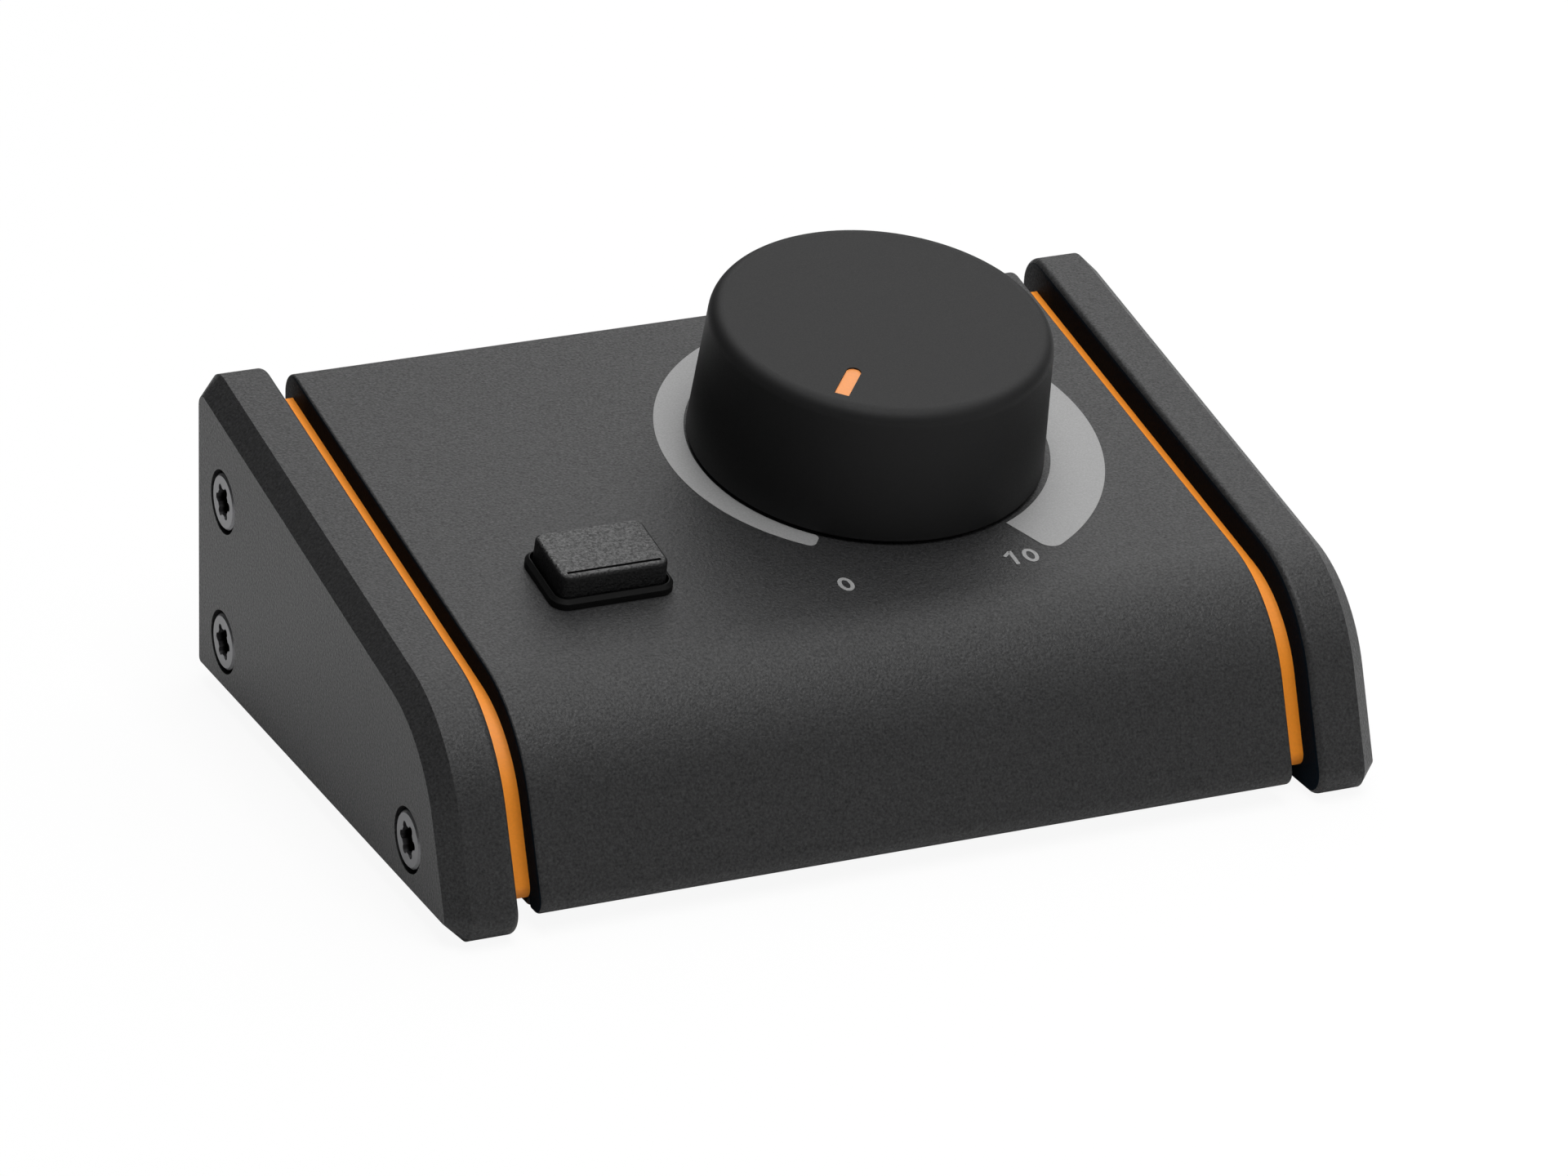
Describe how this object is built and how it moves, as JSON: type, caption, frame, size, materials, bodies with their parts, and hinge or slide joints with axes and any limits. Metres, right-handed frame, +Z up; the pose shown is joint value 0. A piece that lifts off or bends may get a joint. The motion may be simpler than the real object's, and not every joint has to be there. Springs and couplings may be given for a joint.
{
  "type": "studio monitor controller",
  "caption": "Wedge-shaped desk monitor controller: metal body between thick chamfered cheeks, large level knob, rectangular push button and line sockets at the rear.",
  "frame": {"origin": "on the desk, under the middle of the whole envelope, from the cheeks' front tips to the mouths of the rear sockets", "axes": "+X to the right seen from the front, +Y to the rear where the sockets are, +Z up; the front faces -Y"},
  "size_m": [0.12, 0.0862, 0.0547],
  "materials": {
    "powder_coat": "fine dark grey powder coat",
    "accent_orange": "satin orange lacquer",
    "base_steel": "black powder coat",
    "cheek_screw_steel": "dull zinc with a dark recess",
    "black_steel": "black oxide",
    "foot_rubber": "matt",
    "knob_plastic": "soft touch, matt",
    "pointer_orange": "matt inlay",
    "turned_brass": "turned",
    "button_plastic": "fine spark texture on top",
    "bezel_plastic": "satin",
    "socket_plastic": "moulded",
    "nickel": "dull nickel",
    "tinned_contact": "tinned",
    "board_green": "solder mask",
    "inner_steel": "zinc",
    "pot_plastic": "moulded",
    "resistor_blue": "lacquer",
    "connector_cream": "moulded",
    "flat_lead": "flat ribbon"
  },
  "bodies": {
    "housing": {"body_shell": "powder_coat", "base_plate": "base_steel", "right_cheek": "powder_coat", "left_cheek": "powder_coat", "right_accent_plate": "accent_orange", "left_accent_plate": "accent_orange", "right_cheek_screws": "cheek_screw_steel", "left_cheek_screws": "cheek_screw_steel", "base_plate_screws": "black_steel", "rubber_feet": "foot_rubber", "pot_housing": "pot_plastic", "pot_bushing": "nickel", "pot_washer": "nickel", "pot_nut": "nickel", "pot_terminals": "tinned_contact", "control_board": "board_green", "control_board_pillars": "inner_steel", "control_board_screws": "inner_steel", "button_bezel": "bezel_plastic", "switch_body": "pot_plastic", "switch_frame": "nickel", "left_input_jack": "socket_plastic", "right_input_jack": "socket_plastic", "left_output_jack": "socket_plastic", "right_output_jack": "socket_plastic", "jack_contact_springs": "tinned_contact", "jack_washers": "nickel", "jack_nuts": "nickel", "mini_jack": "socket_plastic", "mini_jack_nut": "nickel", "main_board": "board_green", "main_board_spacers": "inner_steel", "main_board_screws": "inner_steel", "summing_resistors": "resistor_blue", "link_sockets": "connector_cream", "link_cable": "flat_lead"},
    "knob": {"knob_shell": "knob_plastic", "knob_insert": "turned_brass", "knob_pointer": "pointer_orange", "pot_shaft": "nickel", "pot_rotor": "pot_plastic"},
    "mono_button": {"button_cap": "button_plastic", "switch_plunger": "pot_plastic"}
  },
  "joints": [
    {"name": "level_turn", "type": "hinge", "parent": "housing", "child": "knob", "pos_m": [0.0138, 0.00641, 0.03321], "axis": [0, 0.2079, -0.9781], "range_deg": [0, 300]},
    {"name": "mono_press", "type": "slide", "parent": "housing", "child": "mono_button", "axis": [0, 0.2079, -0.9781], "range_m": [0, 0.0025], "stiffness_N_per_m": 400, "springref_m": -0.001}
  ]
}
